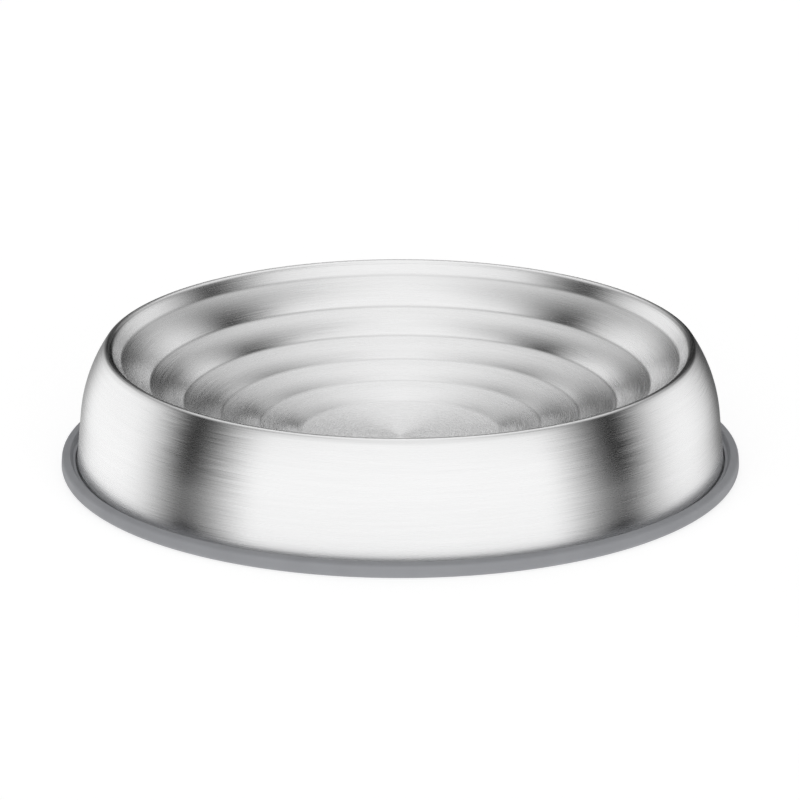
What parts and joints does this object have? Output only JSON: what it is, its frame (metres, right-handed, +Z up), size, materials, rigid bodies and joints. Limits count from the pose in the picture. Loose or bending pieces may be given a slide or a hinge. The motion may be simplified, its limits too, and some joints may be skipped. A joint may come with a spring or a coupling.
{
  "type": "cat bowl",
  "caption": "Wide shallow stainless steel cat bowl: terraced dish under a rolled rim, flared outer skirt, and a soft grey non-slip ring round the foot.",
  "frame": {"origin": "on the table, under the middle of the bowl", "axes": "+Z up along the bowl's axis of revolution; +X and +Y lie on the table and are interchangeable"},
  "size_m": [0.18, 0.18, 0.033],
  "materials": {
    "dish_steel": "circular brushed stainless steel",
    "skirt_steel": "brushed stainless steel, grain running round the wall",
    "ring_rubber": "matte grey moulded rubber"
  },
  "bodies": {
    "ring": {"base_ring": "ring_rubber"},
    "bowl": {"dish": "dish_steel", "skirt": "skirt_steel"}
  },
  "joints": [
    {"name": "bowl_lift", "type": "slide", "parent": "ring", "child": "bowl", "axis": [0, 0, 1], "range_m": [0, 0.03]}
  ]
}
